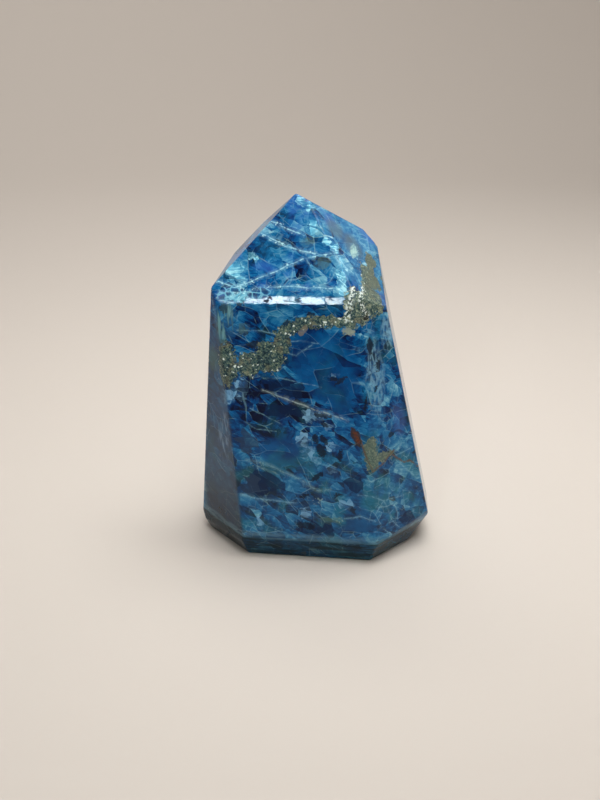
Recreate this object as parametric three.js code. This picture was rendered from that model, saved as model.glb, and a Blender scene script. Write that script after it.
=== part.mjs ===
// A tall standing point of blue apatite, ground and polished by hand from one piece of
// rough. Seven upright facets lean in towards a crown of sloping ones, the tip stands
// left of the middle, and chamfers run round the foot above a flat resting face.
// Units are mm, +Z is up, and the broad front facet looks towards -Y.

import * as THREE from "three";
import { ConvexGeometry } from "three/addons/geometries/ConvexGeometry.js";

// Polishing leaves the edges of the crown crisp and wears those of the foot rounder.
const CROWN_EDGE_RADIUS = 0.5;
const FOOT_EDGE_RADIUS = 0.9;
const CRISP_ABOVE = 40;
const STEPS_ROUND_A_CORNER = 4;

const APATITE_BLUE = 0x2c6396;

// The ground facets. "faces" is the compass direction a facet looks towards, in degrees
// round from +X, and "leans" how far it tips back from upright, in degrees (below zero
// where it overhangs). "reach" is how far it stands from the upright axis at height "at".
const FACETS = {
  front: { faces: 263, leans: 6, reach: 16.1, at: 5 },
  leftFront: { faces: 213.5, leans: -1, reach: 21.8, at: 5 },
  rightFront: { faces: 312, leans: 8.5, reach: 22.4, at: 5 },
  right: { faces: 356, leans: 12.5, reach: 26.9, at: 6 },
  rightBack: { faces: 50, leans: 6, reach: 22.1, at: 6 },
  back: { faces: 98, leans: 4, reach: 15.8, at: 6 },
  leftBack: { faces: 165, leans: 6, reach: 27, at: 3 },

  brow: { faces: 262.7, leans: 19, reach: 10, at: 60 },
  crownFront: { faces: 262.5, leans: 31.5, reach: 10.2, at: 60 },
  crownRight: { faces: 328.5, leans: 40, reach: 13.7, at: 60 },
  crownLeft: { faces: 180, leans: 44.2, reach: 24.7, at: 60 },
  crownBack: { faces: 98, leans: 42, reach: 13.6, at: 70 },
  crownRightBack: { faces: 30, leans: 35, reach: 14.8, at: 70 },
  tip: { faces: 15, leans: 60.5, reach: 0, at: 78.45 },

  footFront: { faces: 262.5, leans: -22, reach: 14.3, at: 0 },
  footLeftFront: { faces: 215.5, leans: -26, reach: 19.9, at: 0 },
  footRightFront: { faces: 317.5, leans: -24.5, reach: 19.8, at: 0 },
  footRight: { faces: 356, leans: -35, reach: 22, at: 0 },
  footRightBack: { faces: 50, leans: -30, reach: 18.5, at: 0 },
  footBack: { faces: 98, leans: -30, reach: 12.3, at: 0 },
  footLeft: { faces: 165, leans: -25, reach: 24.8, at: 0 },
};

// The plane of one facet: its outward normal, and its distance from the origin.
function planeOf({ faces, leans, reach, at }) {
  const turn = THREE.MathUtils.degToRad(faces);
  const lean = THREE.MathUtils.degToRad(leans);
  const normal = new THREE.Vector3(
    Math.cos(turn) * Math.cos(lean),
    Math.sin(turn) * Math.cos(lean),
    Math.sin(lean),
  );
  return { normal, distance: reach * Math.cos(lean) + at * Math.sin(lean) };
}

const restingFace = { normal: new THREE.Vector3(0, 0, -1), distance: 0 };
const planes = [...Object.values(FACETS).map(planeOf), restingFace];

// The point where three planes meet once each has moved inwards by inset, or null if
// two of them are parallel.
function meetingPoint([a, b, c], inset) {
  const bc = b.normal.clone().cross(c.normal);
  const ca = c.normal.clone().cross(a.normal);
  const ab = a.normal.clone().cross(b.normal);
  const spread = a.normal.dot(bc);
  if (Math.abs(spread) < 1e-5) return null;
  return bc
    .multiplyScalar(a.distance - inset)
    .addScaledVector(ca, b.distance - inset)
    .addScaledVector(ab, c.distance - inset)
    .divideScalar(spread);
}

const liesInside = (point, inset) =>
  planes.every((p) => p.normal.dot(point) <= p.distance - inset + 1e-6);

// The patch of a small ball that rounds one corner: it touches each of the corner's
// three facets, and its points fan out from the first facet's normal to the others.
function roundedCorner(centre, radius, [a, b, c]) {
  const points = [];
  for (let i = 0; i <= STEPS_ROUND_A_CORNER; i++)
    for (let j = 0; j <= STEPS_ROUND_A_CORNER - i; j++)
      points.push(
        new THREE.Vector3()
          .addScaledVector(a.normal, STEPS_ROUND_A_CORNER - i - j)
          .addScaledVector(b.normal, i)
          .addScaledVector(c.normal, j)
          .setLength(radius)
          .add(centre),
      );
  return points;
}

// The skin of the stone runs over the rounded corners, with flat facets between them.
const skin = [];
for (const [i, a] of planes.entries())
  for (const [j, b] of planes.slice(i + 1).entries())
    for (const c of planes.slice(i + j + 2)) {
      const sharp = meetingPoint([a, b, c], 0);
      if (!sharp) continue;
      const radius = sharp.z > CRISP_ABOVE ? CROWN_EDGE_RADIUS : FOOT_EDGE_RADIUS;
      const centre = meetingPoint([a, b, c], radius);
      if (liesInside(centre, radius))
        skin.push(...roundedCorner(centre, radius, [a, b, c]));
    }

// The origin lies on the resting face, below the middle of the stone's outer size.
const shape = new ConvexGeometry(skin);
shape.computeBoundingBox();
const middle = shape.boundingBox.getCenter(new THREE.Vector3());
shape.translate(-middle.x, -middle.y, 0);

const stone = new THREE.Mesh(
  shape,
  new THREE.MeshStandardMaterial({
    color: APATITE_BLUE,
    roughness: 0.12,
    metalness: 0,
  }),
);
stone.name = "apatite_point";

const part = new THREE.Group();
part.name = "blue_apatite_freeform";
part.add(stone);

export default part;
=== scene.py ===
# A polished standing point of blue apatite on a pale floor, in soft daylight.
import math

import bmesh
import bpy
import numpy as np
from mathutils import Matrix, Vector
from mathutils.bvhtree import BVHTree


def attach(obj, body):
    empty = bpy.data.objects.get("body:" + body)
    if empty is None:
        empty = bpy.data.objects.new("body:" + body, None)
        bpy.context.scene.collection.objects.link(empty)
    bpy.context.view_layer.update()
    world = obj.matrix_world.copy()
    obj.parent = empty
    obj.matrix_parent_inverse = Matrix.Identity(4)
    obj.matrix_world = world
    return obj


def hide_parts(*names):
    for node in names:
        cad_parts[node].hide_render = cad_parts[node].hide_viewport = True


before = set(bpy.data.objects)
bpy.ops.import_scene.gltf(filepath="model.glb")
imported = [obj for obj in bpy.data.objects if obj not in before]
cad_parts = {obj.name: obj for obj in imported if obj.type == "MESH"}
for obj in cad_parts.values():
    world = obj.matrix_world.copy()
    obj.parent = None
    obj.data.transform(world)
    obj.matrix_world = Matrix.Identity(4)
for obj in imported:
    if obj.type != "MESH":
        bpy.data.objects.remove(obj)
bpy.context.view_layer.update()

# The stone: one piece of blue apatite rough, ground into facets on a flat lap and then
# polished by hand, which wore its edges round. A fine even skin lies on the solid's facets
# and edges, point by point, and carries the colour of the broken crystal and the polish.
MM = 0.001
SKIN_GRAIN = 0.40 * MM

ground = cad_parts["apatite_point"]
stone = bpy.data.objects.new("apatite_point_polished", ground.data.copy())
bpy.context.scene.collection.objects.link(stone)
remesh = stone.modifiers.new("even skin", "REMESH")
remesh.mode = "VOXEL"
remesh.voxel_size = SKIN_GRAIN
bpy.context.view_layer.update()
skin = bpy.data.meshes.new_from_object(stone.evaluated_get(bpy.context.evaluated_depsgraph_get()))
stone.modifiers.clear()
stone.data = skin

solid = bmesh.new()
solid.from_mesh(ground.data)
nearest = BVHTree.FromBMesh(solid)
for vertex in skin.vertices:
    vertex.co = nearest.find_nearest(vertex.co)[0]
solid.free()
for face in skin.polygons:
    face.use_smooth = True


class Shade:
    """One value, vector or colour inside a shader, so that its maths reads as plain sums."""

    def __init__(self, tree, socket=None):
        self.tree, self.socket = tree, socket

    def node(self, kind, settings={}, inputs={}, out=0):
        """Any node: its type, its settings, what its sockets get, and which output is wanted."""
        made = self.tree.nodes.new("ShaderNode" + kind)
        for name, value in settings.items():
            if name == "stops":
                for stop in range(2, len(value)):
                    made.color_ramp.elements.new(0.5)
                for stop, (place, tint) in zip(made.color_ramp.elements, value):
                    stop.position, stop.color = place, tint
            else:
                setattr(made, name, value)
        for name, value in inputs.items():
            if isinstance(value, Shade):
                self.tree.links.new(value.socket, made.inputs[name])
            else:
                made.inputs[name].default_value = value
        return Shade(self.tree, made.outputs[out])

    def math(self, operation, *values):
        """A sum on plain values: the operation and what it works on, in order."""
        return self.node("Math", {"operation": operation}, dict(enumerate(values)))

    def vector(self, operation, other=None, out=0):
        """The same for a place or a direction."""
        inputs = {0: self} if other is None else {0: self, 1: other}
        return self.node("VectorMath", {"operation": operation}, inputs, out)

    def sibling(self, out):
        """Another output of the node that this value comes from."""
        return Shade(self.tree, self.socket.node.outputs[out])

    def __add__(self, other): return self.math("ADD", self, other)
    def __radd__(self, other): return self.math("ADD", other, self)
    def __sub__(self, other): return self.math("SUBTRACT", self, other)
    def __rsub__(self, other): return self.math("SUBTRACT", other, self)
    def __mul__(self, other): return self.math("MULTIPLY", self, other)
    def __rmul__(self, other): return self.math("MULTIPLY", other, self)

    def lesser(self, other): return self.math("MINIMUM", self, other)
    def greater(self, other): return self.math("MAXIMUM", self, other)

    def fade(self, low, high, start=0.0, end=1.0):
        """Goes smoothly from start, at low, to end, at high."""
        return self.node("MapRange", {"interpolation_type": "SMOOTHSTEP"},
                         {0: self, 1: low, 2: high, 3: start, 4: end})

    def mixed(self, share, other):
        """This colour, with a share of the other over it."""
        return self.node("Mix", {"data_type": "RGBA"}, {0: share, 6: self, 7: other}, out=2)


def seen(red, green, blue):
    """A colour as the eye sees it, 0 to 255, turned into the light values of a shader."""
    light = [c / 255 / 12.92 if c < 10.4 else ((c / 255 + 0.055) / 1.055) ** 2.4
             for c in (red, green, blue)]
    return (*light, 1)


APATITE_IOR = 1.63
POLISH = 0.13
finish = bpy.data.materials.new("polished blue apatite")
finish.use_nodes = True
tree = finish.node_tree
gloss = tree.nodes["Principled BSDF"]
gloss.inputs["IOR"].default_value = APATITE_IOR
gloss.inputs["Specular IOR Level"].default_value = POLISH

# A place inside the stone, in millimetres. The functions after it draw what the stone is
# made of: each takes a place and gives a number, a colour or another place.
at = Shade(tree).node("TexCoord", out="Object").vector("MULTIPLY", (1 / MM,) * 3)


def cloud(place, grain, detail=3, rough=0.5):
    """Soft noise from 0 to 1, in swirls about as wide as the grain."""
    return place.node("TexNoise", {}, {"Vector": place, "Scale": 1 / grain, "Detail": detail,
                                       "Roughness": rough}, "Fac")


def way(tint):
    """A colour's three parts as the three sides of an arrow, from -0.5 to 0.5 each."""
    parts = tint.node("SeparateColor", {}, {0: tint})
    parts = parts.node("CombineXYZ", {}, {0: parts, 1: parts.sibling(1), 2: parts.sibling(2)})
    return parts.vector("SUBTRACT", (0.5, 0.5, 0.5))


def pushed(place, grain, reach, detail=1):
    """The place moved by noise, up to the reach each way, so that what is drawn there bends."""
    push = place.node("TexNoise", {}, {"Vector": place, "Scale": 1 / grain, "Detail": detail}, "Color")
    return push.node("VectorMath", {"operation": "MULTIPLY_ADD"},
                     {0: way(push), 1: (2 * reach,) * 3, 2: place})


def turned(place, angle):
    """The place seen in a frame that is turned about the upright facets' normal."""
    return place.node("VectorRotate", {"rotation_type": "Y_AXIS"}, {"Vector": place, "Angle": angle})


def cells(place, size):
    """The stone broken into cells: a random colour for each, and each one's middle."""
    tint = place.node("TexVoronoi", {}, {"Vector": place, "Scale": 1 / size}, "Color")
    return tint, tint.sibling("Position")


def gap(place, size):
    """How far a place is from the nearest wall between such cells."""
    return place.node("TexVoronoi", {"feature": "DISTANCE_TO_EDGE"},
                      {"Vector": place, "Scale": 1 / size}, "Distance") * size


def dice(tint, which=0):
    """A number from 0 to 1 that each cell draws for itself."""
    return tint.node("SeparateColor", {}, {0: tint}, out=which)


def shaded(place, tint, middle, size):
    """From about -0.5 to 0.5 across each cell, in a direction that the cell draws for itself."""
    steepness = 1.6 / size
    return place.vector("SUBTRACT", middle).vector("DOT_PRODUCT", way(tint), "Value") * steepness


def patches(place, spots):
    """How far a place is from the nearest of some spots: 0 at a spot's middle, 1 at its rim.
    Each spot has its middle and how far it reaches to either side and up and down."""
    least_depth = 2.5
    nearest = None
    for middle, wide, high in spots:
        share = np.array((1 / wide, 1 / max(wide, least_depth), 1 / high))
        off = place.node("VectorMath", {"operation": "MULTIPLY_ADD"},
                         {0: place, 1: tuple(share), 2: tuple(-share * middle)})
        off = off.vector("LENGTH", out="Value")
        nearest = off if nearest is None else nearest.lesser(off)
    return nearest


def threads(place, lines):
    """How far a place is from the nearest of some bent lines, as a share of a line's thickness."""
    nearest = None
    for points, thick in lines:
        line = None
        for a, b in zip(points, points[1:]):
            a, run = np.array(a), np.array(b) - np.array(a)
            off = place.vector("SUBTRACT", tuple(a))
            along = off.vector("DOT_PRODUCT", tuple(run / (run @ run)), "Value")
            along = along.node("Clamp", {}, {0: along})
            step = along.node("VectorMath", {"operation": "SCALE"}, {0: tuple(run), "Scale": along})
            off = off.vector("DISTANCE", step, "Value")
            line = off if line is None else line.lesser(off)
        line = line * (1 / thick)
        nearest = line if nearest is None else nearest.lesser(line)
    return nearest


def slivers(place, shapes):
    """The same for pointed slivers, each with its two tips and its reach to either side."""
    nearest = None
    for a, b, wide in shapes:
        middle, run = (np.array(a) + np.array(b)) / 2, np.array(b) - np.array(a)
        off = place.vector("SUBTRACT", tuple(middle))
        along = off.vector("DOT_PRODUCT", tuple(2 * run / (run @ run)), "Value")
        step = along.node("VectorMath", {"operation": "SCALE"}, {0: tuple(run / 2), "Scale": along})
        off = off.vector("DISTANCE", step, "Value") * (1 / wide) + along * along
        nearest = off if nearest is None else nearest.lesser(off)
    return nearest


# The place gently bent, so that nothing runs quite straight, and with a slight shake, for
# the edges of small things. Then the parts of the stone as shares from 0 to 1: low down, on
# the right, on the crown, and on the left side facet, whose front edge leans left as it rises.
LEFT_LEAN = 0.099
bent = pushed(at, 8, 1.5)
shaken = pushed(pushed(at, 3, 0.3), 0.7, 0.10, 2)
height = at.node("SeparateXYZ", {}, {0: at}, "Z")
across = height.sibling("X")
low, right, crown = height.fade(36, 16), across.fade(8, 13), height.fade(58, 62)
left = (across + height * LEFT_LEAN).fade(-15.7, -16.9) * height.sibling("Y").fade(2, -1)

# The broken crystal: large plates, shards and flakes that lie aslant, each shading from dark
# to light in its own direction, with a grain of fine streaks that turns from shard to shard.
# A few stretches are calm, like deep clear water.
PLATE, SHARD, FLAKE = 8.0, 3.3, 1.3
SHARD_SQUEEZE = (0.8, 0.8, 1.4)
calm = patches(bent, [
    ((0.4, -11.6, 48.5), 8.0, 5.4), ((1.5, -12.1, 43.8), 6.6, 6.2), ((5.6, -12.8, 42.0), 3.9, 8.0),
    ((-8.2, -12.9, 26.1), 5.2, 3.9), ((9.4, -16.8, 9.4), 3.6, 1.8)]).fade(0.80, 1.10, 1, 0)
lively = 1 - calm * 0.85
slant = math.radians(-24)
aslant = turned(bent, slant).vector("MULTIPLY", (0.75, 0.8, 1.5))
plate, plate_middle = cells(aslant, PLATE)
sharp = turned(pushed(at, 4, 0.5), slant).vector("MULTIPLY", SHARD_SQUEEZE)
flat = turned(shaken, slant).vector("MULTIPLY", (0.8, 0.8, 1.3))
flake, flake_middle = cells(flat, FLAKE)
shard, shard_middle = cells(sharp, SHARD)
streak = turned(sharp.vector("SUBTRACT", shard_middle), dice(shard) * 2.4 - 0.6)
streak = cloud(streak.vector("MULTIPLY", (0.45, 1.0, 3.0)), 1.3, 4, 0.6)
fine = cloud(at, 0.9, 3, 0.7)

tone = (0.34 + (dice(plate, 1) - 0.5) * 0.14 + shaded(aslant, plate, plate_middle, PLATE) * 0.20
        + ((dice(shard, 1) - 0.5) * 0.20 + shaded(sharp, shard, shard_middle, SHARD) * 0.30
           + (dice(flake, 1) - 0.5) * 0.12 + shaded(flat, flake, flake_middle, FLAKE) * 0.16
           + (streak - 0.5) * 0.44 + (fine - 0.5) * 0.20) * lively
        + (cloud(bent, 5, 3) - 0.5) * 0.40)
# Darker patches in the stone's tone. The one low on the left side facet is painted shade.
darker_stone_and_painted_shade = patches(at, [((-10, -11.5, 36.0), 8.5, 6.5), ((-13, -13, 18.5), 6.5, 4.0),
                     ((16, -4, 67), 6.0, 8.0), ((-22, -5, 8.5), 6.0, 4.5)]).fade(0.5, 1.2, 0.16, 0)
glow = patches(at, [((-20, -7, 56), 5.0, 4.5), ((10, -11, 52), 4.0, 4.0),
                    ((-6, -10, 56), 9.0, 2.4)]).fade(0.4, 1.1, 0.10, 0)
tone = tone + low * 0.12 + right * 0.06 + crown * 0.14 - darker_stone_and_painted_shade + glow + height.fade(53, 57) * 0.06
blue = tone.node("ValToRGB", {"stops": [
    (0.10, seen(0, 12, 42)), (0.26, seen(0, 42, 92)), (0.40, seen(0, 76, 132)),
    (0.52, seen(24, 104, 154)), (0.66, seen(66, 134, 172)), (0.80, seen(116, 174, 196)),
    (0.96, seen(180, 214, 220))]}, {0: tone})
blue = blue.mixed(cloud(bent, 6, 2).fade(0.50, 0.66) * (0.20 + low * 0.30 + right * 0.15),
                  seen(24, 104, 118))
blue = blue.mixed(cloud(at, 7, 2).fade(0.54, 0.66) * crown * 0.55, seen(46, 92, 172))
blue = blue.mixed(low * 0.20, seen(62, 92, 100))

# Fine pale cracks where plates, shards and flakes meet. They come and go.
patchy = cloud(at, 4.5, 3, 0.6)
seams = gap(aslant, PLATE).fade(0.02, 0.15, 1, 0) * patchy.fade(0.44, 0.56)
net = gap(sharp, SHARD).fade(0.0, 0.12, 1, 0) * patchy.fade(0.50, 0.64) * streak.fade(0.36, 0.60, 0.25, 1)
crackle = gap(turned(shaken, 0.5).vector("MULTIPLY", (1.0, 0.8, 0.8)), 1.5).fade(0.0, 0.13, 1, 0)
crackle = crackle * cloud(at, 3, 3).fade(0.50, 0.62) * (low * 0.4 + right * 0.4 + crown * 0.6 + 0.1)
blue = blue.mixed((net * 0.40 + seams * 0.28 + crackle * 0.30) * lively, seen(130, 178, 188))
blue = blue.mixed(calm * gap(aslant, PLATE).fade(0.02, 0.14, 0.20, 0) * patchy.fade(0.42, 0.58),
                  seen(84, 134, 164))

# Patches that stand apart: dark windows into the stone, small black nicks, slate and steel
# flakes, a ribbon of pale netting down the right front, and bright cyan ones on the crown.
block = cells(sharp, 1.9)[1]
block = turned(block.vector("DIVIDE", SHARD_SQUEEZE), -slant)
chip = cells(shaken, 0.8)[1]
navy = patches(block, [
    ((-7.0, -11.6, 40.3), 4.6, 1.9), ((-7.5, -12.0, 35.3), 3.6, 1.7),
    ((8.5, -15.6, 19.7), 1.8, 1.9), ((-12.3, -13.3, 17.8), 4.5, 2.9), ((0.2, -15.9, 7.9), 4.6, 1.3),
    ((21.0, -10.5, 8.3), 2.2, 1.3)]).fade(0.9, 1.1, 0.8, 0)
splinter = cells(shaken, 0.42)[1]
nicks = patches(splinter, [
    ((3.5, -12.6, 42.8), 1.2, 0.5), ((-6.6, -10.1, 54.4), 0.9, 1.2), ((-1.5, -10.5, 56.8), 1.0, 0.7),
    ((-20.3, -8.1, 57.4), 1.1, 1.2), ((1.8, -13.5, 32.4), 0.7, 0.7), ((-13.6, -9.8, 49.8), 2.0, 0.8)])
nicks = nicks.lesser(slivers(splinter, [
    ((11.3, -10.4, 51.9), (11.8, -11.3, 47.5), 1.05), ((13.6, -9.6, 46.6), (13.3, -10.6, 43.4), 0.75),
    ((10.9, -13.6, 39.3), (10.4, -14.4, 35.6), 0.55), ((13.3, -11.2, 41.2), (12.8, -11.6, 39.4), 0.4),
    ((-0.8, -13.4, 30.6), (0.0, -13.8, 27.6), 0.8), ((0.4, -13.7, 28.4), (1.4, -14.2, 24.6), 1.1),
    ((0.6, -13.5, 30.2), (2.6, -13.9, 27.4), 0.9), ((5.3, -14.4, 27.2), (5.0, -14.8, 24.0), 0.7),
    ((-1.4, -14.5, 19.4), (1.6, -14.6, 21.6), 0.8), ((3.0, -15.1, 15.5), (6.6, -15.4, 16.9), 0.55),
    ((-4.4, -14.4, 15.3), (-0.8, -14.8, 16.2), 0.5), ((-1.2, -12.8, 34.8), (3.9, -13.5, 34.0), 0.55),
    ((-5.2, -15.4, 9.4), (0.4, -15.9, 8.2), 0.9), ((3.6, -12.8, 41.0), (6.8, -12.6, 43.8), 0.5),
    ((-12.0, -8.6, 58.9), (-9.4, -8.4, 60.3), 0.5), ((-17.4, -8.4, 58.2), (-15.6, -8.2, 59.4), 0.7),
    ((-4.9, -9.4, 58.6), (-3.4, -9.0, 60.2), 0.6)]) + (fine - 0.5) * 1.4).fade(0.85, 1.05, 0.85, 0)
nicks = nicks.greater(dice(flake, 2).fade(0.016, 0.010) * (low * 0.8 + right * 0.7).lesser(0.8))
slate = patches(block, [
    ((-16.0, -11.8, 27.4), 2.2, 2.8), ((-14.5, -13.1, 17.4), 2.1, 2.6),
    ((-18.8, -9.8, 42.8), 1.4, 3.4)]).fade(0.9, 1.15, 0.75, 0)
steel = patches(chip, [
    ((-3.2, -13.2, 28.8), 1.5, 1.6), ((-1.9, -13.8, 26.0), 1.5, 1.5), ((3.2, -14.2, 27.2), 1.3, 0.9),
    ((0.0, -14.2, 24.0), 1.4, 0.8), ((3.0, -14.6, 22.4), 1.4, 0.9), ((-1.2, -12.9, 34.3), 2.3, 1.4),
    ((3.8, -12.5, 43.8), 0.7, 0.5), ((-17.0, -10.4, 39.6), 1.6, 2.7), ((-20.2, -10.1, 37.7), 1.6, 2.0),
    ((2.4, -13.6, 32.2), 1.2, 0.9), ((6.7, -16.0, 14.1), 2.1, 1.0), ((-2.4, -15.2, 11.5), 1.4, 1.4),
    ((-12.8, -14.1, 9.2), 0.9, 1.2), ((15.9, -6.0, 54.2), 0.8, 4.5)])
light = (dice(flake) * 0.5 + shaded(sharp, shard, shard_middle, SHARD) * 0.8
         + streak * 0.9).fade(0.35, 1.0, 0.10, 0.85)
steel = steel.fade(0.85, 1.1, 1, 0) * light * (1 - low * 0.25)
ribbon = patches(bent, [
    ((12.8, -10.8, 43.0), 3.2, 11.5), ((15.6, -7.0, 52.0), 1.6, 5.0)]).fade(0.45, 1.15, 1, 0)
lattice = gap(shaken.vector("MULTIPLY", (0.9, 0.9, 0.27)), 1.0).fade(0.02, 0.26, 1, 0)
lattice = ribbon * (lattice * fine.fade(0.36, 0.54, 0.2, 1) * 0.50 + 0.08)
cyan = patches(chip, [
    ((-3.5, 2.1, 79.1), 1.1, 1.0), ((-1.7, 1.0, 77.8), 1.0, 1.0), ((-0.9, -1.5, 74.0), 0.9, 2.0),
    ((1.7, -3.5, 71.2), 1.1, 0.8), ((3.8, -4.3, 69.7), 1.4, 1.1), ((5.3, -6.8, 66.7), 0.8, 2.0),
    ((5.2, -8.4, 64.1), 1.1, 1.1), ((-14.0, -3.5, 67.9), 1.3, 0.7), ((-18.0, -4.7, 65.2), 2.3, 1.7),
    ((-16.2, -6.4, 62.7), 1.4, 1.5), ((8.6, 0.8, 68.2), 0.8, 2.1), ((-17.3, -7.9, 59.8), 2.7, 1.1),
    ((5.4, -9.8, 61.9), 1.0, 1.4)]).fade(0.7, 1.15, 1, 0)
cyan = cyan * light.greater(0.3)
violet = patches(bent, [
    ((13.9, -5.4, 58.9), 1.8, 3.2), ((18.6, -8.1, 31.5), 2.5, 4.6)])
blue = blue.mixed(steel, seen(124, 172, 204)).mixed(navy, seen(2, 30, 64))
blue = blue.mixed(lattice, seen(128, 176, 196)).mixed(nicks, seen(4, 18, 36))
blue = blue.mixed(slate, seen(38, 56, 80)).mixed(violet.fade(0.5, 1.2, 0.3, 0), seen(80, 112, 176))
blue = blue.mixed(cyan, seen(96, 184, 214)).mixed(cyan * streak.fade(0.46, 0.60), seen(176, 232, 240))

# Duller places: smoky grey on the crown's right facet, with one pale lens in it, teal upright
# strokes at the upper left corner, and dark flakes with bright rims at the left end of the
# brow, which is the long edge under the crown.
smoke = patches(bent, [
    ((4.2, 1.4, 73.0), 2.8, 4.8), ((8.4, 1.6, 69.3), 3.4, 3.8)]).fade(0.5, 1.15, 0.70, 0)
blue = blue.mixed(smoke, seen(80, 106, 118))
pale = slivers(shaken, [((8.6, 2.8, 69.9), (7.7, -2.4, 66.6), 1.3)]) + (fine - 0.5) * 0.8
pale = pale.fade(0.5, 0.95, 0.9, 0)
blue = blue.mixed(pale * streak.fade(0.3, 0.6, 0.3, 1), seen(160, 196, 190))
upright = cloud(at.vector("MULTIPLY", (1.5, 1.0, 0.16)), 1.1, 3, 0.6)
corner = patches(bent, [((-20.6, -8.2, 54.4), 3.0, 5.4)]).fade(0.6, 1.1, 1, 0)
blue = blue.mixed(corner * upright.fade(0.56, 0.44, 0.75, 0), seen(14, 58, 76))
blue = blue.mixed(corner * upright.fade(0.48, 0.64, 0.1, 0.85), seen(110, 156, 164))
mottle = patches(bent, [
    ((-18.8, -7.4, 60.6), 4.4, 1.9), ((-12.8, -8.0, 60.9), 2.8, 1.3)]).fade(0.7, 1.1, 1, 0)
scale = gap(shaken.vector("MULTIPLY", (0.8, 0.8, 1.0)), 1.45)
blue = blue.mixed(mottle * scale.fade(0.20, 0.40, 0, 0.8), seen(10, 52, 92))
blue = blue.mixed(mottle * scale.fade(0.0, 0.16, 0.8, 0), seen(126, 198, 218))

# Longer healed cracks, each a thin bright line in a faint pale haze: white ones across the
# crown, faint bluish ones between, a beige one over the broad facet, and greenish and tan
# ones lower down. The back and the sides have a few of the same.
white = threads(shaken, [
    ([(-10.0, 0.3, 74.8), (-6.0, -1.2, 73.4), (-2.9, -2.2, 72.4)], 0.55),
    ([(-12.2, -0.9, 72.5), (-8.9, -2.2, 71.1), (-5.2, -3.6, 69.7), (-0.4, -4.8, 68.7)], 0.55),
    ([(-10.4, -1.8, 71.2), (-6.6, -3.2, 69.9), (-3.0, -4.3, 69.0)], 0.35),
    ([(3.3, -5.0, 69.1), (-3.2, -5.0, 67.7), (-8.4, -5.8, 65.4), (-15.1, -6.5, 62.8)], 0.5),
    ([(-15.1, -6.5, 62.8), (-18.1, -6.7, 61.8), (-21.7, -5.5, 63.0)], 0.55),
    ([(-13.9, -7.4, 61.7), (-6.4, -7.8, 62.4), (-0.5, -8.8, 62.2), (5.4, -9.5, 62.3)], 0.5),
    ([(-21.4, -6.9, 60.8), (-14.4, -7.8, 60.9)], 0.4),
    ([(4.3, -5.6, 68.5), (6.5, -6.4, 65.8), (5.4, -9.4, 62.4), (5.9, -10.4, 60.9)], 0.7),
    ([(-20.9, 2.9, 60.0), (-19.1, 8.9, 62.0), (-12.4, 10.4, 61.0), (-4.1, 11.2, 65.6)], 0.55),
    ([(-7.6, 10.8, 64.0), (2.1, 12.1, 62.6), (6.0, 12.8, 63.0)], 0.45),
    ([(16.4, -2.9, 53.0), (17.9, 4.5, 48.5), (17.1, 9.1, 46.0), (10.1, 14.9, 41.5),
      (5.3, 14.5, 38.0)], 0.55)])
faint = threads(shaken, [
    ([(-2.2, -5.4, 67.3), (-1.0, -6.7, 65.6), (-0.5, -7.8, 63.8)], 0.6),
    ([(5.0, -6.9, 66.4), (2.5, -8.4, 63.5), (0.5, -8.6, 62.7)], 0.6),
    ([(-5.4, -5.6, 66.3), (-5.4, -7.0, 64.1), (-6.2, -7.8, 62.5)], 0.6),
    ([(-11.7, -10.8, 42.4), (-8.1, -11.2, 42.5), (-2.7, -12.0, 41.5), (0.9, -12.5, 40.8)], 0.35),
    ([(-14.9, -11.1, 35.5), (-7.8, -12.3, 32.1)], 0.3),
    ([(-16.1, -11.3, 32.3), (-13.5, -11.8, 30.6), (-9.0, -12.4, 30.4)], 0.3),
    ([(-6.8, -10.7, 48.4), (-4.6, -11.1, 47.6), (-1.1, -11.2, 50.1)], 0.5),
    ([(-7.2, -10.5, 50.3), (-3.7, -10.8, 50.9), (0.2, -11.4, 50.4)], 0.4),
    ([(-17.7, -8.9, 52.8), (-12.0, -9.6, 52.8), (-7.0, -10.3, 51.9)], 0.5),
    ([(-16.8, -13.0, 15.3), (-14.8, -13.3, 14.7), (-4.8, -14.6, 13.9)], 0.8),
    ([(5.7, -16.3, 10.8), (9.7, -16.7, 11.5), (12.8, -17.1, 10.7), (16.2, -15.1, 6.9)], 0.5),
    ([(13.0, -17.0, 12.1), (15.2, -14.5, 14.6), (18.8, -11.4, 13.9), (21.6, -8.9, 14.0)], 0.5),
    ([(15.2, -14.5, 14.6), (17.2, -13.8, 9.3), (18.9, -12.7, 7.0)], 0.5),
    ([(9.2, -16.1, 16.6), (12.3, -16.5, 16.5), (15.2, -14.5, 14.6)], 0.5),
    ([(17.7, -10.4, 23.9), (19.9, -8.4, 23.8), (21.9, -6.5, 24.3)], 0.5),
    ([(18.0, -10.4, 22.7), (21.0, -8.4, 19.3), (22.5, -7.3, 17.8)], 0.5),
    ([(-22.8, -6.4, 58.8), (-21.4, -8.0, 52.2), (-20.4, -9.0, 49.6)], 0.7),
    ([(-23.8, 4.2, 30.0), (-21.9, 10.2, 33.0), (-9.2, 13.1, 29.0), (-1.5, 14.2, 28.0)], 0.5)])
greenish = threads(shaken, [
    ([(-15.6, -12.4, 23.5), (-12.0, -12.9, 23.0), (-6.5, -13.7, 20.8), (-1.8, -14.5, 18.5)], 0.55),
    ([(-13.4, -12.8, 22.2), (-9.0, -13.4, 20.6)], 0.35),
    ([(-2.8, -14.4, 18.5), (0.3, -14.9, 17.0), (3.0, -15.2, 17.6)], 0.5),
    ([(-25.9, -0.4, 10.9), (-21.9, -6.6, 13.0), (-17.3, -13.0, 15.2)], 0.5)])
beige = threads(shaken, [
    ([(-12.0, -11.0, 39.8), (-7.3, -11.8, 38.1)], 0.4),
    ([(-7.3, -11.8, 38.1), (-3.7, -12.3, 36.9), (0.2, -13.0, 35.5), (6.4, -13.9, 33.7)], 0.62)])
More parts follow.
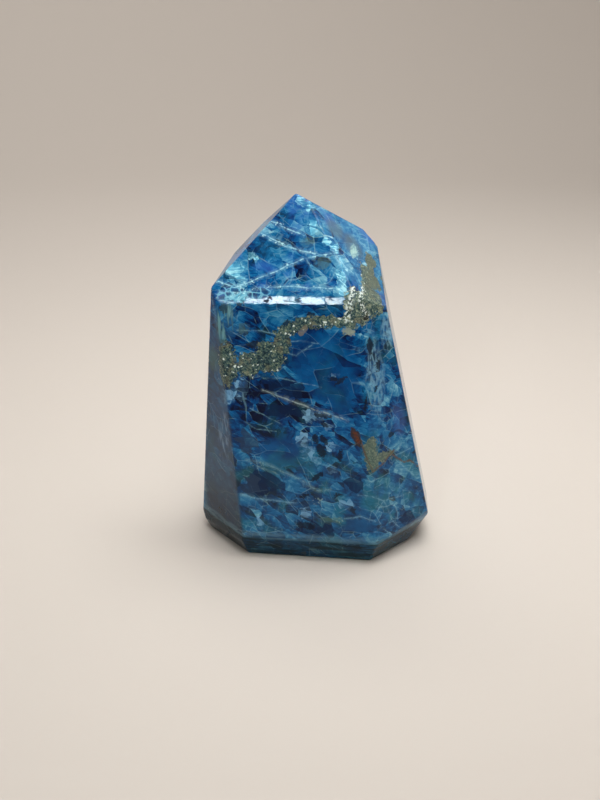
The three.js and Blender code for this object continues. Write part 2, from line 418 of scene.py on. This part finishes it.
tan = threads(shaken, [
    ([(9.7, -14.8, 29.3), (10.8, -15.3, 25.7), (12.5, -15.5, 21.9), (15.1, -12.9, 23.2),
      (17.4, -10.4, 25.1)], 0.7),
    ([(17.2, -10.8, 24.1), (20.0, -8.9, 21.5), (21.4, -7.5, 21.4), (23.5, -6.1, 19.3)], 0.7)])
broken = fine.fade(0.38, 0.58, 0.30, 1)

# Each kind of crack with the strength of its line, the strength and reach of its haze, and
# its colour. Painted glints, pale ones and cream ones, lie along some of them.
for line, strength, haze, reach, tint in (
        (faint, 0.45, 0.10, 1.1, seen(130, 180, 196)), (white, 0.82, 0.18, 1.7, seen(164, 216, 230)),
        (beige, 0.80, 0.20, 1.6, seen(152, 170, 170)), (greenish, 0.50, 0.25, 1.4, seen(128, 164, 162))):
    line = line.fade(0.12, 0.42, strength, 0).greater(line.fade(0.3, reach, haze, 0)) * broken
    blue = blue.mixed(line, tint)
grit, painted_glint_cells = cells(at, 0.28)[0], cells(at, 0.36)[0]
# Painted glints: pale specks along the white cracks and over the mottle at the brow's left end.
painted_glint = white.fade(0.4, 1.5, 1, 0).greater(mottle) * dice(painted_glint_cells).fade(0.955, 0.97) * 0.7
blue = blue.mixed(painted_glint, seen(186, 230, 236))
# Painted glints in cream, in a few patches low down.
painted_cream_glint = patches(bent, [
    ((-13.4, -12.8, 22.3), 2.4, 1.0), ((4.9, -16.1, 10.8), 1.4, 0.8), ((0.6, -15.2, 14.6), 1.6, 0.8),
    ((-18.6, -12.2, 8.6), 1.2, 2.0)]).fade(0.6, 1.2, 1, 0) * dice(painted_glint_cells, 1).fade(0.80, 0.86)
blue = blue.mixed(painted_cream_glint * 0.42, seen(150, 178, 166))

# The left side facet, which faces away from the light, has painted shade and a painted grey
# reflection: greyer than the rest and darker towards the foot. It also has pale slanting strokes.
blue = blue.mixed(left * height.fade(56, 50) * 0.62, seen(52, 76, 98))
blue = blue.mixed(left * height.fade(26, 8) * 0.65, seen(16, 22, 32))
strokes = cloud(turned(at, 0.42).vector("MULTIPLY", (1.0, 1.0, 0.22)), 1.3, 3).fade(0.46, 0.66)
strokes = strokes * left * patches(bent, [((-20.0, -7.5, 28.0), 3.2, 8.5)]).fade(0.5, 1.1, 0.8, 0)
blue = blue.mixed(strokes, seen(110, 138, 162))

# The olive seam: sandy olive grains that cross the stone in a ragged band, with painted glints
# on its grains, a brown pebble, and a rusty spot at the end of the beige crack.
# The band goes on round the back.
olive = patches(chip, [
    ((-20.0, -9.5, 45.0), 2.4, 5.2), ((-14.9, -10.1, 45.2), 2.9, 2.9), ((-10.5, -10.4, 47.1), 3.3, 3.6),
    ((-7.8, -10.5, 49.9), 2.1, 2.5), ((7.6, -11.2, 59.3), 1.9, 5.7), ((9.6, -10.8, 58.3), 2.7, 4.0),
    ((11.6, -2.6, 62.8), 2.8, 4.6), ((12.0, 1.9, 65.4), 1.2, 3.6), ((12.1, -15.2, 27.3), 1.9, 2.7),
    ((12.6, -6.4, 58.2), 2.0, 3.8), ((11.0, -8.6, 58.8), 2.4, 3.6), ((10.6, -6.0, 61.2), 1.6, 2.4),
    ((-23.2, -2.0, 45.4), 1.8, 3.2), ((12.5, -15.4, 24.4), 1.6, 2.5),
    ((15.2, -12.6, 24.5), 2.7, 1.1), ((6.7, -11.9, 53.5), 1.1, 1.0)])
band = threads(chip, [
    ([(-8.1, -10.2, 52.3), (-3.7, -10.4, 54.6), (1.0, -10.9, 55.4), (5.9, -11.6, 55.4)], 1.3),
    ([(-23.5, -0.8, 45.5), (-22.4, 3.1, 46.2), (-21.4, 7.8, 43.8), (-17.4, 10.9, 43.5)], 2.4),
    ([(-17.4, 10.9, 43.5), (-12.6, 11.3, 46.8), (-8.6, 11.8, 48.0)], 1.4),
    ([(-8.6, 11.8, 48.0), (-5.6, 12.0, 51.6), (-2.6, 12.4, 52.0)], 2.2),
    ([(-2.6, 12.4, 52.0), (0.0, 12.9, 49.4), (2.9, 13.4, 48.2), (6.1, 13.7, 50.6)], 0.9),
    ([(6.1, 13.7, 50.6), (9.7, 14.3, 48.8), (12.1, 12.6, 51.2), (14.7, 9.9, 54.4)], 1.5),
    ([(14.7, 9.9, 54.4), (16.6, 6.7, 54.8), (15.5, 3.3, 58.8), (14.7, 0.5, 61.5)], 0.8)])
tinge = patches(chip, [
    ((-2.1, -3.1, 71.1), 1.8, 1.2), ((1.2, -6.1, 66.9), 2.2, 1.6), ((-16.3, -9.1, 53.1), 1.4, 1.6),
    ((3.4, -16.0, 10.4), 3.0, 0.9), ((-22.8, -5.4, 45.2), 3.4, 3.4)]).fade(0.4, 1.2, 0.45, 0)
olive = (olive.lesser(band * 0.85 + 0.12) + (fine - 0.5) * 0.55).fade(0.92, 1.06, 0.95, 0)
sand = (dice(grit) - 0.5) * 0.50 + cloud(at, 1.1, 4, 0.7) + across.fade(-4, 8, -0.03, 0.08)
sand = sand.node("ValToRGB", {"stops": [
    (0.26, seen(22, 42, 48)), (0.44, seen(54, 78, 78)), (0.58, seen(84, 104, 92)),
    (0.72, seen(116, 128, 104)), (0.90, seen(166, 172, 146))]}, {0: sand})
sand = sand.mixed(cloud(at, 2.2, 3).fade(0.50, 0.64) * 0.42, seen(100, 90, 68))
sand = sand.mixed(across.fade(9.6, 12.0) * crown * streak.fade(0.3, 0.6, 0.4, 0.8), seen(92, 98, 78))
# Painted glints on the sand: scattered specks, and two short upright chains below the brow.
painted_sparkle_chain = threads(shaken, [
    ([(7.7, -9.6, 62.5), (6.7, -11.3, 58.4), (6.2, -11.5, 55.9)], 1.0),
    ([(9.8, -7.3, 61.9), (9.1, -10.9, 60.1), (9.9, -10.6, 57.7), (11.0, -10.0, 56.2)], 0.9)])
painted_sparkle = dice(painted_glint_cells).fade(0.965, 0.975) * across.fade(11.5, 9.5, 0.2, 1)
painted_sparkle = painted_sparkle.greater(painted_sparkle_chain.fade(0.3, 1.0, 1, 0) * dice(painted_glint_cells, 1).fade(0.58, 0.62))
sand = sand.mixed(painted_sparkle * 0.9, seen(226, 236, 228))
rust = slivers(shaken, [((7.5, -14.3, 32.3), (9.9, -14.9, 27.6), 1.05)]) + (fine - 0.5) * 1.3
core = rust.fade(0.30, 0.60, 1, 0)
rust = rust.fade(0.85, 1.1, 0.9, 0)
pebble = threads(shaken, [([(-3.5, -10.7, 52.6), (-2.7, -10.6, 53.7)], 0.8)]) + (fine - 0.5) * 0.9
pebble = pebble.fade(0.70, 0.95, 0.8, 0) * streak.fade(0.3, 0.6, 0.6, 1)
lobe = patches(splinter, [((6.4, -11.8, 53.5), 1.1, 0.8), ((7.4, -11.9, 53.2), 0.7, 0.8)])
lobe = (lobe + (fine - 0.5) * 0.9).fade(0.80, 1.1, 0.75, 0)
hole = patches(shaken, [((10.6, -10.3, 55.9), 0.7, 0.5)]).fade(0.8, 1.1, 0.9, 0)
sand = sand.mixed(height.fade(34, 31) * 0.55, seen(88, 106, 94))
colour = blue.mixed(tinge, seen(82, 112, 96)).mixed(olive, sand)
tan = tan.fade(0.15, 0.50, 0.85, 0) * fine.fade(0.36, 0.52, 0.2, 1)
colour = colour.mixed(tan, seen(92, 74, 60))
colour = colour.mixed(rust, seen(56, 44, 38))
colour = colour.mixed(core * streak.fade(0.34, 0.60, 0.4, 1), seen(94, 52, 36))
colour = colour.mixed(pebble, seen(122, 114, 98))
colour = colour.mixed(lobe, seen(146, 156, 146))
colour = colour.mixed(hole, seen(14, 20, 20))

# Painted shade on the chamfer round the foot, which faces down: darker, with level streaks.
# A painted highlight runs along its top as a paler line.
level = cloud(at.vector("MULTIPLY", (0.16, 0.3, 1.7)), 1.3, 4, 0.6)
colour = colour.mixed(height.fade(6.0, 4.8) * level.fade(0.42, 0.56, 0.96, 0.66), seen(12, 34, 42))
# Painted highlight: a paler line along the top edge of the foot's chamfer.
rim = height.fade(7.0, 6.0) * height.fade(4.6, 5.4) * level.fade(0.40, 0.56, 0.1, 0.45)
colour = colour.mixed(rim, seen(96, 130, 142))
tree.links.new(colour.socket, gloss.inputs["Base Color"])

# The polish: glassy, but duller on the seam's grains, in the cracks and on the cyan flakes,
# and a very little uneven. Fine dark cracks cut the highlight along the brow.
brow = patches(bent, [((-4.0, -8.6, 61.2), 12.0, 1.8)]).fade(0.8, 1.1, 1, 0)
chink = brow * gap(shaken.vector("MULTIPLY", (1.0, 1.0, 0.6)), 1.1).fade(0.0, 0.07, 1, 0)
chink = chink * patchy.fade(0.42, 0.52)
cut = (net + seams + nicks + chink).lesser(1)
rough = 0.05 + olive * 0.25 + cut * 0.35 + (cyan + mottle * 0.8).lesser(1) * 0.30 + fine * 0.04
tree.links.new(rough.socket, gloss.inputs["Roughness"])

worn = cloud(at, 2.5, 2) * 0.15 + (dice(grit, 2) - 0.5) * olive - cut * 0.25
bump = worn.node("Bump", {}, {"Height": worn, "Strength": 0.25, "Distance": 0.0002})
tree.links.new(bump.socket, gloss.inputs["Normal"])
skin.materials.clear()
skin.materials.append(finish)
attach(stone, "root")
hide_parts("apatite_point")

# The floor: a plain pale matt sheet that the stone stands on. Far out it curves up into a
# round wall, so that no horizon shows from any side.
FLAT_REACH, CURVE, WALL_TOP = 0.55, 0.35, 1.1
RINGS, BENDS, ROUND = 4, 12, 96
profile = [(FLAT_REACH * i / RINGS, 0.0) for i in range(1, RINGS + 1)]
profile += [(FLAT_REACH + CURVE * math.sin(a), CURVE - CURVE * math.cos(a))
            for a in (math.radians(90 * i / BENDS) for i in range(1, BENDS + 1))]
profile += [(profile[-1][0], WALL_TOP)]
spots = [(0, 0, 0)] + [(r * math.cos(2 * math.pi * k / ROUND), r * math.sin(2 * math.pi * k / ROUND), z)
                       for r, z in profile for k in range(ROUND)]
faces = [(0, 1 + k, 1 + (k + 1) % ROUND) for k in range(ROUND)]
for ring in range(len(profile) - 1):
    start = 1 + ring * ROUND
    faces += [(start + k, start + ROUND + k, start + ROUND + (k + 1) % ROUND, start + (k + 1) % ROUND)
              for k in range(ROUND)]
sheet = bpy.data.meshes.new("floor")
sheet.from_pydata(spots, [], faces)
for face in sheet.polygons:
    face.use_smooth = True
floor = bpy.data.objects.new("floor", sheet)
bpy.context.scene.collection.objects.link(floor)
paint = bpy.data.materials.new("pale board")
paint.use_nodes = True
matt = paint.node_tree.nodes["Principled BSDF"]
matt.inputs["Base Color"].default_value = seen(198, 190, 181)
matt.inputs["Roughness"].default_value = 0.85
sheet.materials.append(paint)

# The light: a soft pale sky over the round wall, a broad window overhead and a little to the
# right, a weaker one high in front, one that lights the wall behind, a faint one far right,
# and a small lower one in front that the narrow facet along the brow mirrors.
room = bpy.data.worlds.new("pale room")
bpy.context.scene.world = room
room.use_nodes = True
room.node_tree.nodes["Background"].inputs["Color"].default_value = seen(188, 185, 184)


def window(name, place, aim, width, height, power, spread=180, tint=(1, 1, 1)):
    lamp = bpy.data.lights.new(name, "AREA")
    lamp.shape = "RECTANGLE"
    lamp.size, lamp.size_y = width, height
    lamp.energy, lamp.spread, lamp.color = power, math.radians(spread), tint
    held = bpy.data.objects.new(name, lamp)
    held.location = place
    held.rotation_euler = (Vector(aim) - Vector(place)).to_track_quat("-Z", "Y").to_euler()
    bpy.context.scene.collection.objects.link(held)


window("window_high_right", (0.07, 0.03, 0.42), (-0.02, 0, 0.03), 0.26, 0.26, 1.45)
window("window_high_front", (0.05, -0.25, 0.50), (0, 0.03, 0.05), 0.20, 0.20, 0.10, 60)
window("window_far_back", (-0.14, 0.45, 0.60), (-0.08, 0.75, 0.0), 0.40, 0.30, 1.7)
window("window_far_right", (0.55, 0.45, 0.36), (0, 0, 0.05), 0.45, 0.30, 0.03, 60)
window("window_low_front", (-0.155, -0.543, 0.291), (-0.007, -0.009, 0.06), 0.085, 0.06, 0.026, 30,
       (0.82, 0.97, 1))

# The camera looks along +Y from 20 degrees above the horizon, and frames the stone a little
# right of and above the middle, as the photograph does.
AIM = Vector((-3.74, -3.25, 34.5)) * MM
HEIGHT_ANGLE = math.radians(20)
AWAY = 254 * MM
LENS, SENSOR = 50, 36
eye = bpy.data.cameras.new("camera")
eye.lens, eye.sensor_width = LENS, SENSOR
eye.clip_start, eye.clip_end = 0.01, 50
camera = bpy.data.objects.new("camera", eye)
back = Vector((0, -math.cos(HEIGHT_ANGLE), math.sin(HEIGHT_ANGLE)))
camera.location = AIM + back * AWAY
camera.rotation_euler = (-back).to_track_quat("-Z", "Y").to_euler()
bpy.context.scene.collection.objects.link(camera)
bpy.context.scene.camera = camera
bpy.context.scene.view_settings.view_transform = "Standard"
